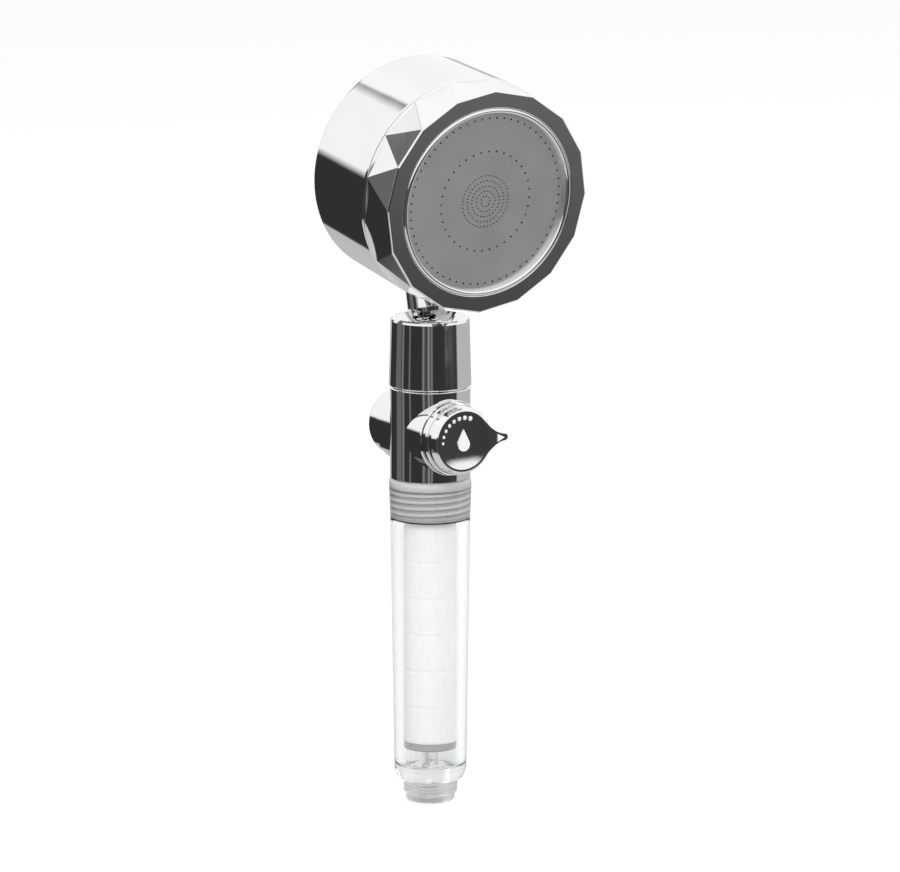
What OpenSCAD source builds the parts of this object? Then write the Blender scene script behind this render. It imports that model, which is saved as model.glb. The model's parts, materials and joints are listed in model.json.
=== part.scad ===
// Handheld shower head: a clear filter handle, a chrome valve with a flow knob
// and a stop button, a ball joint, and a round turbo-fan head with a faceted bezel.
// Millimetres, +Z up along the handle. The origin is the middle of the hose
// thread's end face. The spray face and the flow knob look towards -Y, the stop
// button is at +Y, and the spray selector is on the head's +X side.

/* [Handle tube] */
// Major diameter of the hose thread, G 1/2
thread_d = 20.955; // [20.5:0.005:21.5]
// Length of the threaded nipple
thread_len = 8.5; // [7.5:0.1:9.5]
// Diameter of the tube just above the nipple
tube_bottom_d = 27.9; // [27:0.1:29]
// Diameter of the tube where the coupling's thread begins
tube_top_d = 30.9; // [30.5:0.1:31.2]
// Diameter of the rim at the tube's mouth
tube_rim_d = 31.8; // [31.4:0.1:32.4]
// Height at which the coupling's thread begins
tube_thread_z = 112; // [108:0.5:114]
// Height of the tube's mouth
tube_mouth_z = 127; // [126.5:0.1:127.2]

/* [Filter] */
// Outer diameter of the filter cartridge
filter_d = 20.4; // [18:0.1:20.6]
// Height of the cartridge's lower end
filter_bottom_z = 24; // [22.5:0.1:28]
// Number of short sections that the cartridge is wound from
filter_sections = 6; // [3:1:8]

/* [Valve] */
// Diameter of the upright valve body
valve_d = 31; // [30.6:0.1:31.4]
// Height of the seam between valve body and collar
seam_z = 163.4; // [162.5:0.1:164]
// Height of the cross axis that the knob and the button share
cross_z = 145.5; // [145:0.1:146]
// Diameter of the cross boss
boss_d = 29.2; // [29:0.1:29.8]
// Distance from the handle's axis to each end of the cross boss
boss_reach = 17; // [16.6:0.1:17.2]
// Distance from the handle's axis to the knob's face
knob_face = 25.3; // [24.6:0.1:26]
// Diameter of the knob's skirt
knob_d = 28; // [27:0.1:28.6]
// Distance from the cross axis to the tip of the knob's pointer
pointer_reach = 19.6; // [18.5:0.1:21]
// Distance from the handle's axis to the button's face
button_face = 25.5; // [24.8:0.1:26.5]
// Diameter of the button
button_d = 26.4; // [25.8:0.1:26.4]
// How far the button travels
button_travel = 3.5; // [2.5:0.1:3.5]

/* [Collar and ball joint] */
// Height of the collar's top edge
collar_top_z = 190.3; // [189.8:0.1:190.8]
// Diameter of the collar at its top edge
collar_top_d = 30.4; // [30:0.1:31]
// Height of the ball's centre
ball_z = 181.5; // [181.2:0.1:181.8]
// Diameter of the ball
ball_d = 16.4; // [16.2:0.1:16.5]
// Diameter of the neck
neck_d = 14.5; // [13.5:0.1:14.6]
// How far the neck leans to the rear at rest, in degrees
neck_lean = 13.5; // [12:0.5:15]

/* [Head] */
// How far the spray direction drops below level, in degrees
face_drop = 7.6; // [6:0.1:9]
// Place of the seam's centre along Y
head_y = -24.9; // [-25.5:0.1:-24]
// Height of the seam's centre
head_z = 242.4; // [242:0.1:243]
// Diameter of the rear rim
rim_d = 86.4; // [86:0.1:86.8]
// Diameter of the seam between housing and bezel
seam_d = 88.4; // [88:0.1:89]
// Distance from the seam back to the rear rim
barrel_len = 38.85; // [38.5:0.05:39.5]
// Distance from the seam forward to the bezel's front
bezel_len = 17.9; // [17.5:0.1:18.5]
// Number of sides of the faceted bezel
bezel_sides = 16; // [12:1:20]
// Corner-to-corner diameter of the bezel's front edge
bezel_d = 87; // [86.5:0.1:87.4]

/* [Spray face] */
// Diameter of the steel spray plate
plate_d = 72; // [71:0.1:72.4]
// Diameter of a centre nozzle hole
mist_hole_d = 0.55; // [0.5:0.05:0.8]
// Diameter of a hole in the two outer rings
jet_hole_d = 0.75; // [0.6:0.05:1.2]
// Spacing of the rings in the centre cluster
mist_pitch = 2; // [1.8:0.05:2.1]
// Radius of the middle ring of holes
middle_ring_r = 19.4; // [18:0.1:22]
// Radius of the outer ring of holes
outer_ring_r = 32.4; // [31:0.1:33]

/* [Fan] */
// Number of blades
blades = 4; // [3:1:6]
// Radius at the blade tips
fan_r = 35.6; // [33:0.1:36.4]
// Direction of the first blade, in degrees
fan_phase = 35; // [0:1:90]
// Slope of each blade across its width, in degrees
blade_pitch = 11; // [8:0.5:12]

/* [Spray selector] */
// Distance from the seam back to the middle of the selector
selector_back = 13; // [12.5:0.1:13.5]
// Width of the selector bar
selector_w = 6.8; // [6:0.1:7]
// Distance from the bar's middle to the centre of each round end
selector_reach = 11.2; // [9:0.1:11.2]
// How far the selector turns to each side, in degrees
selector_turn = 6.5; // [5:0.5:6.5]
// Radius of the bar's outer face, from the head's axis
selector_r = 48; // [47:0.1:48.5]

/* [Hidden] */
$fn = 96;

// Gap between a turning or sliding part and its bore
run_gap = 0.05;
// Gap at a visible seam between two shells
seam_gap = 0.4;
// Overshoot of a cutter past the face that it cuts
over = 1;

// Hose thread: a 55 degree thread with 14 turns to the inch
thread_pitch = 1.814;
thread_depth = 1.162;
thread_crest = 0.3;
// Height of the first thread ridge, above a plain lead-in
thread_first_z = 3.1;
nipple_bore_r = 6.2;
tube_floor_z = 14;
tube_inner_bottom_r = 11.2;
tube_inner_top_r = 11.6;

// Coupling between the tube and the valve body
coupling_pitch = 2.6;
coupling_crest_r = 14.3;
coupling_root_r = 13.3;
coupling_band_r = 14.9;
coupling_band = 3.2;
coupling_bore_r = 8.4;
coupling_shank_r = 11.4;
coupling_top_z = 134.6;
oring_seat_r = 13.1;
oring_seat = 1.7;

// Filter
filter_top_z = tube_thread_z - 2;
filter_bore_r = 4;
spigot_r = 5;

// Valve
valve_r = valve_d / 2;
boss_r = boss_d / 2;
valve_bottom_z = tube_mouth_z + seam_gap;
valve_top_z = seam_z - seam_gap / 2;
cross_bore_r = 10.5;
sleeve_bore_r = 8.55;
sleeve_front = 15.5;
sleeve_back = 9.2;
spool_inner_end = 4.2;
spool_port_y = -6.6;
outlet_port_y = -1.9;
stub_r = 4;
button_r = button_d / 2;
button_skirt = 10.2;
plunger_head = 4;
stem_r = 2.5;
spring_mean_r = 6.6;
spring_wire_r = 0.55;
spring_turns = 6;

// Collar and ball joint
collar_bottom_z = seam_z + seam_gap / 2;
collar_bottom_r = 15.9;
spigot_top_z = 170;
aperture_r = 7.9;
aperture_z = 185.6;
bowl_rim_r = 13.4;
seat_bore_r = 12;
ball_r = ball_d / 2;
neck_r = neck_d / 2;
waist_r = 5;
stem_in_ball_r = 4.5;
neck_bore_r = 3.2;
neck_end = 25;
neck_spigot_r = 5;
neck_spigot_end = 26.8;

// Head. Distances along the head's axis are positive towards the spray face.
rim_r = rim_d / 2;
seam_r = seam_d / 2;
housing_bore_r = 41.3;
bezel_bore_r = 41.2;
bezel_lip_z = 14.2;
bead_r = 35.6;
bead_wire_r = 0.95;
plate_z = 15.4;
plate_thick = 0.8;
zone_walls_r = [13.6, 25.8, 35];
zone_wall = 1.2;
window_r = 40.9;
window_back = -38.3;
window_panel_back = -37.5;
window_front = -36.1;
chamber_r = 39.3;
chamber_bore_r = 37.5;
chamber_floor_z = -26;
chamber_floor = 1.5;
axle_r = 1.5;
hub_top = -35.3;
hub_bottom = -27.4;
hub_r = 5.2;
hub_disc_r = 9.4;
hub_disc = [-33.4, -30.8];
hub_cap_r = 13.9;
water_r = 36.6;
water_bore_r = 34.8;
water_front_z = -4.2;
ring_inner_r = 37.2;
ring_outer_r = 40.6;
ring_back = -17.2;
ring_front = -3.8;
slot_gap = 0.4;
slot_reach = selector_reach + seam_r * sin(selector_turn) + 0.2;

// ---------- Helpers ----------

// Turns the Z axis into the cross axis, towards the knob at -Y
module towards_knob() {
    translate([0, 0, cross_z]) rotate([90, 0, 0]) children();
}

// Turns the Z axis into the cross axis, towards the button at +Y
module towards_button() {
    translate([0, 0, cross_z]) rotate([-90, 0, 0]) children();
}

// Turns the Z axis into the neck's axis, with its zero at the ball's centre
module along_neck() {
    translate([0, 0, ball_z]) rotate([-neck_lean, 0, 0]) children();
}

// Turns the Z axis into the spray direction, with its zero at the seam's centre
module in_head() {
    translate([0, head_y, head_z]) rotate([90 + face_drop, 0, 0]) children();
}

// A ring of inner radius r1 and outer radius r2 from z1 to z2
module ring(r1, r2, z1, z2) {
    rotate_extrude() translate([r1, z1]) square([r2 - r1, z2 - z1]);
}

// A round bar from z1 to z2
module bar(r, z1, z2) {
    translate([0, 0, z1]) cylinder(r = r, h = z2 - z1);
}

// A sealing ring of mean radius r and section radius s, at height z
module oring(r, s, z) {
    translate([0, 0, z]) rotate_extrude() translate([r, 0]) circle(r = s, $fn = 32);
}

// Profile of n annular thread ridges from height z up, at pitch p
function ridges(n, z, p, crest_r, root_r, crest, flank) = [
    for (i = [0 : n - 1], k = [0 : 3])
        let (m = z + i * p, side = k < 2 ? -1 : 1, out = k == 1 || k == 2)
        [out ? crest_r : root_r, m + side * (crest / 2 + (out ? 0 : flank))]
];

// A bar with round ends that points out of the head's side, for the selector and
// its slot. The centres of the round ends are the given reach above and below.
module side_pill(reach, w, x1, x2) {
    steps = 14;
    outline = [
        for (end = [1, -1], i = [0 : steps])
            let (a = i * 180 / steps)
            [end * w / 2 * cos(a), end * (reach + w / 2 * sin(a))]
    ];
    translate([x1, 0, -selector_back]) rotate([0, 90, 0]) linear_extrude(x2 - x1)
        polygon(outline);
}

// ---------- Handle ----------

module inlet_strainer() {
    hole_pitch = 1.9;
    color("lightsteelblue")
        translate([0, 0, 1]) linear_extrude(1)
            difference() {
                circle(r = nipple_bore_r - run_gap);
                for (i = [-2 : 2], j = [-2 : 2])
                    if (norm([i, j]) < 2.6)
                        translate([i, j] * hole_pitch) circle(r = 0.65, $fn = 24);
            }
}

module handle_tube() {
    root_r = thread_d / 2 - thread_depth;
    flank = thread_depth * tan(27.5);
    color([0.86, 0.9, 0.92, 0.4])
        rotate_extrude() polygon(concat(
            [[nipple_bore_r, 0], [root_r - 0.5, 0], [root_r, 0.5]],
            ridges(3, thread_first_z, thread_pitch, thread_d / 2, root_r, thread_crest, flank),
            [
                [root_r, thread_len], [12, thread_len], [12.9, thread_len + 1],
                [tube_bottom_d / 2, thread_len + 4.2],
                [tube_top_d / 2, tube_thread_z],
                [tube_rim_d / 2, tube_mouth_z - 3.5],
                [tube_rim_d / 2, tube_mouth_z - 0.6],
                [tube_rim_d / 2 - 0.5, tube_mouth_z],
                [coupling_band_r + run_gap, tube_mouth_z],
                [coupling_band_r + run_gap, tube_mouth_z - coupling_band],
                [coupling_crest_r + run_gap, tube_mouth_z - coupling_band - 0.5],
                [coupling_crest_r + run_gap, tube_thread_z],
                [oring_seat_r, tube_thread_z],
                [oring_seat_r, tube_thread_z - oring_seat],
                [tube_inner_top_r, tube_thread_z - oring_seat],
                [tube_inner_bottom_r, tube_floor_z + 1],
                [tube_inner_bottom_r - 1, tube_floor_z],
                [nipple_bore_r, tube_floor_z]
            ]));
}

module filter_foot() {
    fins = 4;
    fin_w = 1.2;
    color([0.85, 0.88, 0.9, 0.6])
        translate([0, 0, tube_floor_z]) linear_extrude(filter_bottom_z - 3 - tube_floor_z)
            difference() {
                union() {
                    circle(r = 3.2);
                    for (i = [0 : fins - 1])
                        rotate(45 + i * 360 / fins) translate([2.5, -fin_w / 2])
                            square([7.5, fin_w]);
                }
                circle(r = 2);
            }
}

module filter_end_ring() {
    color("gray")
        rotate_extrude() polygon([
            [filter_bore_r, filter_bottom_z - 3], [filter_d / 2 - 0.4, filter_bottom_z - 3],
            [filter_d / 2, filter_bottom_z - 2.6], [filter_d / 2, filter_bottom_z],
            [filter_bore_r, filter_bottom_z]
        ]);
}

module filter_cartridge() {
    r = filter_d / 2;
    section = (filter_top_z - filter_bottom_z) / filter_sections;
    groove = 0.3;
    seams = [
        for (i = [1 : filter_sections - 1], k = [-1 : 1])
            [r - (k == 0 ? groove : 0), filter_bottom_z + i * section + k * groove]
    ];
    color("white")
        rotate_extrude() polygon(concat(
            [[filter_bore_r, filter_bottom_z], [r, filter_bottom_z]], seams,
            [[r, filter_top_z], [filter_bore_r, filter_top_z]]));
}

module filter_top_cap() {
    color("gainsboro")
        rotate_extrude() polygon([
            [3, filter_top_z], [filter_d / 2, filter_top_z],
            [filter_d / 2, filter_top_z + 1.6], [spigot_r, filter_top_z + 1.6],
            [spigot_r, filter_top_z + 3.3], [spigot_r - 0.9, filter_top_z + 3.3],
            [spigot_r - 0.9, filter_top_z + 4.3], [spigot_r, filter_top_z + 4.3],
            [spigot_r, filter_top_z + 7], [spigot_r - 0.6, filter_top_z + 8],
            [3, filter_top_z + 8]
        ]);
}

module filter_oring() {
    color("black") oring(spigot_r - 0.42, 0.48, filter_top_z + 3.8);
}

module thread_coupling() {
    bottom = tube_thread_z;
    color("darkgray")
        rotate_extrude() polygon(concat(
            [[spigot_r + 0.1, bottom], [coupling_root_r, bottom]],
            ridges(4, bottom + 1.6, coupling_pitch, coupling_crest_r, coupling_root_r, 0.7, 0.75),
            [
                [coupling_root_r, tube_mouth_z - coupling_band],
                [coupling_band_r, tube_mouth_z - coupling_band + 0.6],
                [coupling_band_r, valve_bottom_z], [coupling_shank_r, valve_bottom_z],
                [coupling_shank_r, coupling_top_z], [coupling_bore_r, coupling_top_z],
                [coupling_bore_r, bottom + 6], [spigot_r + 0.1, bottom + 4]
            ]));
}

module coupling_oring() {
    s = oring_seat / 2 - 0.05;
    color("black") oring(oring_seat_r - s - run_gap, s, tube_thread_z - oring_seat / 2);
}

// ---------- Valve ----------

module valve_body() {
    color("silver")
        difference() {
            union() {
                rotate_extrude() polygon([
                    [0, valve_bottom_z], [valve_r - 0.5, valve_bottom_z],
                    [valve_r, valve_bottom_z + 0.5], [valve_r, valve_top_z - 0.5],
                    [valve_r - 0.5, valve_top_z], [12.9, valve_top_z],
                    [12.9, spigot_top_z], [0, spigot_top_z]
                ]);
                towards_knob() rotate_extrude() polygon([
                    [0, -boss_reach], [boss_r - 0.3, -boss_reach], [boss_r, -boss_reach + 0.3],
                    [boss_r, boss_reach - 0.3], [boss_r - 0.3, boss_reach], [0, boss_reach]
                ]);
            }
            bar(coupling_shank_r + run_gap, valve_bottom_z - over, coupling_top_z + 0.2);
            bar(8.2, coupling_top_z - over, cross_z);
            bar(6.5, cross_z, spigot_top_z + over);
            towards_knob() bar(cross_bore_r + run_gap, -boss_reach, boss_reach + over);
            towards_button()
                bar(button_r + 0.35, sleeve_back + 0.3, boss_reach + over);
        }
}

module valve_sleeve() {
    color("whitesmoke")
        difference() {
            towards_knob() ring(sleeve_bore_r, cross_bore_r, -sleeve_back, sleeve_front);
            translate([0, spool_port_y, 0]) bar(2.2, cross_z - 12, cross_z);
            translate([0, outlet_port_y, 0]) bar(1.6, cross_z, cross_z + 12);
        }
}

module plunger_guide() {
    color("whitesmoke")
        towards_button() rotate_extrude() polygon([
            [stem_r + run_gap, 5.4], [sleeve_bore_r, 5.4], [sleeve_bore_r, sleeve_back],
            [stem_r + 1.15, sleeve_back], [stem_r + 1.15, sleeve_back - 1.2],
            [stem_r + run_gap, sleeve_back - 1.2]
        ]);
}

module guide_oring() {
    color("black") towards_button() oring(stem_r + 0.6, 0.5, sleeve_back - 0.6);
}

// A round wire wound into a coil around Z, with a section circle every 1/16 turn
module coil(mean_r, wire_r, turns, z1, z2) {
    steps = turns * 16;
    sides = 8;
    rise = z2 - z1 - 2 * wire_r;
    points = [
        for (i = [0 : steps], k = [0 : sides - 1])
            let (a = i * 360 / 16, b = k * 360 / sides, r = mean_r + wire_r * cos(b))
            [r * cos(a), r * sin(a), z1 + wire_r + rise * i / steps + wire_r * sin(b)]
    ];
    walls = [
        for (i = [0 : steps - 1], k = [0 : sides - 1])
            let (n = (k + 1) % sides, a = i * sides, b = a + sides)
            each [[a + k, b + k, b + n], [a + k, b + n, a + n]]
    ];
    ends = [
        [for (k = [0 : sides - 1]) k],
        [for (k = [sides - 1 : -1 : 0]) steps * sides + k]
    ];
    polyhedron(points, concat(walls, ends));
}

module button_spring() {
    color("lightgray")
        towards_button()
            coil(spring_mean_r, spring_wire_r, spring_turns, sleeve_back + 0.05, button_face - 1.65);
}

// ---------- Flow knob ----------

// Outline of the pointer: it leaves the face's circle and draws in to a round tip
module pointer_outline(face_r, reach, tip_r) {
    start = 40;
    steps = 10;
    x0 = face_r * cos(start);
    y0 = face_r * sin(start);
    x1 = reach - tip_r;
    side = [
        for (i = [0 : steps])
            let (t = i / steps)
            [x0 + (x1 - x0) * t, tip_r + (y0 - tip_r) * pow(1 - t, 1.75)]
    ];
    polygon(concat(
        [[0, 0]], side, [for (i = [steps : -1 : 0]) [side[i][0], -side[i][1]]]));
    translate([x1, 0]) circle(r = tip_r, $fn = 32);
    circle(r = face_r);
}

// Cap of a ball, this wide and high, standing on z = 0
module dome(r, height) {
    ball_r = (r * r + height * height) / (2 * height);
    translate([0, 0, height - ball_r]) sphere(ball_r);
}

module flow_knob() {
    face_r = 11.9;
    dish_r = 10.9;
    dish = 0.4;
    dish_ball_r = (dish_r * dish_r + dish * dish) / (2 * dish);
    skirt = knob_face - boss_reach - 0.35;
    pointer_thick = 3;
    dots = 8;
    mark = 0.35;
    color("silver")
        towards_knob() difference() {
            union() {
                difference() {
                    union() {
                        translate([0, 0, knob_face - skirt]) rotate_extrude() polygon([
                            [0, 0], [knob_d / 2 - 0.3, 0], [knob_d / 2, 0.3],
                            [knob_d / 2, 2.4], [knob_d / 2 - 0.5, 3],
                            [knob_d / 2 - 1.2, 3], [knob_d / 2 - 1.2, 3.6],
                            [knob_d / 2 - 0.7, 3.9], [knob_d / 2 - 0.7, skirt - 2.4],
                            [face_r + 0.9, skirt - 1.1], [face_r + 0.3, skirt - 0.35],
                            [face_r - 0.2, skirt], [0, skirt]
                        ]);
                        translate([0, 0, knob_face - pointer_thick])
                            linear_extrude(pointer_thick)
                                pointer_outline(face_r - 0.2, pointer_reach, 1.3);
                    }
                    translate([0, 0, knob_face - dish + dish_ball_r])
                        sphere(dish_ball_r, $fn = 720);
                }
                // Growing dots that show the way to more flow
                for (i = [0 : dots - 1])
                    rotate([0, 0, 180 - 15.5 * i])
                        translate([9.2, 0, knob_face - dish / 4])
                            dome(0.6 + 0.05 * i, mark);
                // A plain water drop in the middle
                translate([0, 0, knob_face - 2 * dish])
                    linear_extrude(2 * dish + mark - 0.25) {
                        translate([0, -1.2]) circle(r = 2.6, $fn = 48);
                        polygon([[-2.25, 0.1], [0, 4.6], [2.25, 0.1]]);
                    }
                // Arrow on the pointer
                translate([pointer_reach - 4.6, 0, knob_face - dish])
                    linear_extrude(dish + mark)
                        polygon([[0, -1.5], [3, 0], [0, 1.5]]);
            }
            bar(stub_r + run_gap, 0, knob_face - 2);
            ring(stub_r + 1.6, knob_d / 2 - 2.2, 0, knob_face - 4.6);
        }
}

module flow_spool() {
    r = sleeve_bore_r - run_gap;
    color("whitesmoke")
        difference() {
            towards_knob() difference() {
                union() {
                    bar(r, spool_inner_end, sleeve_front);
                    bar(stub_r, sleeve_front - 1, knob_face - 2.4);
                }
                bar(5.2, spool_inner_end - over, 9.6);
                for (z = [11.5, 14])
                    ring(r - 1, r + over, z - 0.55, z + 0.55);
                ring(stub_r - 0.5, stub_r + over, 16.2, 17);
            }
            translate([0, spool_port_y, 0]) bar(2.2, cross_z - 12, cross_z);
        }
}

module spool_orings() {
    r = sleeve_bore_r - run_gap;
    color("black") towards_knob()
        for (z = [11.5, 14])
            oring(r - 0.5, 0.5, z);
}

module spool_clip() {
    color("lightgray") towards_knob() difference() {
        ring(stub_r - 0.45, stub_r + 1.3, 16.25, 16.95);
        translate([0, -1.2, 16]) cube([10, 2.4, 2]);
    }
}

// ---------- Stop button ----------

module stop_button() {
    wall = 1.2;
    color("silver")
        towards_button() difference() {
            rotate_extrude() polygon([
                [0, button_face - button_skirt], [button_r, button_face - button_skirt],
                [button_r, button_face - 1.4], [button_r - 0.2, button_face - 0.8],
                [button_r - 0.7, button_face - 0.2], [button_r - 1.2, button_face],
                [0, button_face]
            ]);
            ring(stem_r + 1.8, button_r - wall, 0, button_face - 1.6);
            bar(stem_r + 0.02, 0, button_face - 2.6);
            ring(0, stem_r + 1.9, 0, button_face - 7);
            // Small dimple near the top of the face
            translate([0, -9.4, button_face - 0.4]) cylinder(r = 0.5, h = 1, $fn = 32);
        }
}

module stop_plunger() {
    r = sleeve_bore_r - run_gap;
    color("whitesmoke")
        towards_button() difference() {
            union() {
                bar(r, 0, plunger_head);
                bar(stem_r, 0, button_face - 2.7);
            }
            ring(r - 1, r + over, plunger_head / 2 - 0.55, plunger_head / 2 + 0.55);
        }
}

module plunger_oring() {
    color("black") towards_button() oring(sleeve_bore_r - run_gap - 0.5, 0.5, plunger_head / 2);
}

// ---------- Collar and ball joint ----------

module collar() {
    top_r = collar_top_d / 2;
    // The bowl is part of a sphere that passes the rim and the aperture's edge
    drop = collar_top_z - aperture_z;
    rise = (pow(bowl_rim_r, 2) - pow(aperture_r, 2) - drop * drop) / (2 * drop);
    bowl_r = norm([aperture_r, drop + rise]);
    color("silver")
        difference() {
            rotate_extrude() polygon([
                [0, collar_bottom_z], [collar_bottom_r - 0.4, collar_bottom_z],
                [collar_bottom_r, collar_bottom_z + 0.4], [top_r, collar_top_z - 1.4],
                [top_r - 0.25, collar_top_z - 0.6], [top_r - 0.8, collar_top_z - 0.1],
                [top_r - 1.4, collar_top_z], [0, collar_top_z]
            ]);
            translate([0, 0, collar_top_z + rise]) sphere(r = bowl_r, $fn = 96);
            bar(aperture_r, aperture_z - 2, collar_top_z);
            bar(seat_bore_r, spigot_top_z, aperture_z - 0.8);
            bar(13, collar_bottom_z - over, spigot_top_z + 0.3);
        }
}

module lower_ball_seat() {
    top = ball_z - 1;
    color("whitesmoke")
        difference() {
            ring(5, seat_bore_r - run_gap, spigot_top_z + 0.35, top);
            translate([0, 0, ball_z]) sphere(r = ball_r + 0.08, $fn = 96);
            oring(6.9, 0.95, ball_z - 5.6);
        }
}

module ball_seal() {
    color("black")
        difference() {
            oring(6.9, 0.93, ball_z - 5.6);
            translate([0, 0, ball_z]) sphere(r = ball_r + 0.08, $fn = 96);
        }
}

module upper_ball_seat() {
    color("whitesmoke")
        difference() {
            ring(5, seat_bore_r - 0.07, ball_z - 0.7, ball_z + 3);
            translate([0, 0, ball_z]) sphere(r = ball_r + 0.08, $fn = 96);
        }
}

module ball() {
    color("silver")
        along_neck() difference() {
            sphere(r = ball_r, $fn = 96);
            bar(stem_in_ball_r + run_gap, -ball_r - over, ball_r + over);
        }
}

// ---------- Head: neck and shells ----------

module neck_stem() {
    color("silver")
        along_neck() rotate_extrude() polygon([
            [neck_bore_r, -6.2], [stem_in_ball_r, -6.2], [stem_in_ball_r, 7],
            [waist_r, 7.3], [waist_r + 0.5, 8.2], [waist_r + 1.3, 9.2],
            [neck_r - 0.35, 10.4], [neck_r, 12], [neck_r, neck_end],
            [neck_spigot_r, neck_end], [neck_spigot_r, neck_spigot_end],
            [neck_bore_r, neck_spigot_end]
        ]);
}

module neck_oring() {
    color("black") along_neck() oring(neck_spigot_r + 0.6, 0.5, neck_end + 0.55);
}

module rear_housing() {
    back = -barrel_len + 0.9;
    color("silver")
        difference() {
            in_head() difference() {
                rotate_extrude() polygon([
                    [housing_bore_r, back], [rim_r, back], [seam_r, -0.7],
                    [seam_r - 0.4, -seam_gap / 2], [housing_bore_r, -seam_gap / 2]
                ]);
                side_pill(slot_reach, selector_w + 2 * slot_gap, 32, seam_r + 2);
            }
            along_neck() bar(neck_r + 0.02, 12, 32);
        }
}

// Flat triangles between the many-sided front edge and an equal polygon turned by
// half a side, which stands in a round cuff at the seam
module faceted_bezel() {
    lip = 0.5;
    cuff = 1.1;
    back = seam_gap / 2;
    color("silver")
        in_head() difference() {
            union() {
                hull() {
                    translate([0, 0, bezel_len - lip - 0.01])
                        linear_extrude(0.01) circle(d = bezel_d, $fn = bezel_sides);
                    translate([0, 0, bezel_len - 0.01])
                        linear_extrude(0.01) circle(d = bezel_d - 2 * lip, $fn = bezel_sides);
                    translate([0, 0, back + cuff / 2]) rotate(180 / bezel_sides)
                        linear_extrude(0.01) circle(r = seam_r - 0.1, $fn = bezel_sides);
                }
                rotate_extrude() polygon([
                    [bezel_bore_r - 1, back], [seam_r - 0.4, back], [seam_r, back + 0.4],
                    [seam_r, back + cuff], [bezel_bore_r - 1, back + cuff]
                ]);
            }
            bar(bezel_bore_r, -over, bezel_lip_z);
            bar(bead_r + bead_wire_r + 0.03, 0, bezel_len + over);
        }
}

module rear_rim() {
    back = -barrel_len;
    color("silver")
        in_head() rotate_extrude() polygon([
            [window_r - 1.2, back + 0.35], [window_r - 0.8, back], [rim_r - 0.5, back],
            [rim_r, back + 0.5], [rim_r, back + 0.85], [housing_bore_r - 0.05, back + 0.85],
            [housing_bore_r - 0.05, back + 3.2], [window_r + 0.03, back + 3.2],
            [window_r + 0.03, back + 0.54], [window_r - 1.2, back + 0.54]
        ]);
}

module rear_window() {
    color([0.85, 0.9, 0.92, 0.3])
        in_head() difference() {
            rotate_extrude() polygon([
                [0, window_front], [window_r, window_front], [window_r, window_back],
                [38.4, window_back], [37.8, window_panel_back], [0, window_panel_back]
            ]);
            bar(axle_r + 0.02, window_front - 0.8, window_front + over);
        }
}

module window_gasket() {
    color("dimgray") in_head() ring(38.2, window_r - 0.1, window_front, window_front + 0.6);
}

// ---------- Head: turbine ----------

module turbine_chamber() {
    top = window_front + 0.6;
    port = [-22, -16];
    color([0.35, 0.36, 0.38])
        difference() {
            union() {
                in_head() rotate_extrude() polygon([
                    [0, chamber_floor_z], [chamber_bore_r, chamber_floor_z],
                    [chamber_bore_r, top], [window_r - 0.1, top], [window_r - 0.1, top + 1.2],
                    [chamber_r, top + 1.2], [chamber_r, chamber_floor_z + chamber_floor],
                    [0, chamber_floor_z + chamber_floor]
                ]);
                in_head() bar(3, chamber_floor_z - 0.8, chamber_floor_z + 0.1);
                in_head() translate(port) bar(3.7, chamber_floor_z - 1.2, chamber_floor_z + 0.1);
                intersection() {
                    along_neck() bar(neck_r - 0.1, neck_end + 0.05, 34);
                    in_head() ring(chamber_bore_r, housing_bore_r - 0.1, -35, -17);
                }
            }
            in_head() translate(port) bar(2.7, chamber_floor_z - 3, chamber_floor_z + 3);
            in_head() bar(axle_r + 0.02, chamber_floor_z - 2, chamber_floor_z + 0.9);
            along_neck() bar(neck_spigot_r + run_gap, 20, 31);
            along_neck() bar(neck_spigot_r + 1.15, 20, neck_end + 1.1);
        }
}

module fan_axle() {
    color("lightgray") in_head() bar(axle_r, window_front - 0.7, chamber_floor_z + 0.8);
}

// Egg-shaped outline of one blade, broad near its tip
module blade_outline() {
    middle = 21.8;
    half_len = fan_r - middle;
    polygon([
        for (a = [0 : 10 : 350])
            [middle + half_len * cos(a), 14.6 * sin(a) * (1 + 0.28 * cos(a))]
    ]);
}

// One blade is cut from a thin shell of a cylinder that lies along the blade
module fan_blade() {
    shell_r = 40;
    thick = 1.2;
    middle_z = (hub_top + hub_bottom) / 2 + 0.4;
    intersection() {
        translate([0, 0, hub_top + 0.3]) linear_extrude(hub_bottom - hub_top - 0.6)
            blade_outline();
        translate([0, 0, middle_z]) rotate([blade_pitch, 0, 0]) translate([0, 0, shell_r - 1.6])
            rotate([0, 90, 0]) difference() {
                cylinder(r = shell_r, h = 60);
                translate([0, 0, -over]) cylinder(r = shell_r - thick, h = 62);
            }
    }
}

module fan_blades() {
    color("silver")
        in_head() difference() {
            union() {
                bar(hub_r, hub_top + 0.9, hub_bottom);
                // The blades grow out of a small disc
                bar(hub_disc_r, hub_disc[0], hub_disc[1]);
                for (i = [0 : blades - 1])
                    rotate([0, 0, fan_phase + i * 360 / blades]) fan_blade();
            }
            bar(2.5, hub_top - over, hub_bottom + over);
            bar(hub_cap_r + 0.02, hub_top - over, hub_top + 0.9);
        }
}

module fan_hub_cap() {
    color([0.75, 0.78, 0.8, 0.7])
        in_head() rotate_extrude() polygon([
            [2.5, hub_top + 0.3], [5.9, hub_top + 0.3], [6.2, hub_top], [6.7, hub_top],
            [7, hub_top + 0.3], [13, hub_top + 0.3], [13.2, hub_top], [hub_cap_r, hub_top],
            [hub_cap_r, hub_top + 0.88], [2.5, hub_top + 0.88]
        ]);
}

module fan_bush() {
    color("darkgoldenrod") in_head() ring(axle_r + run_gap, 2.48, hub_top + 0.3, hub_bottom);
}

// ---------- Head: water path and spray face ----------

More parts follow.
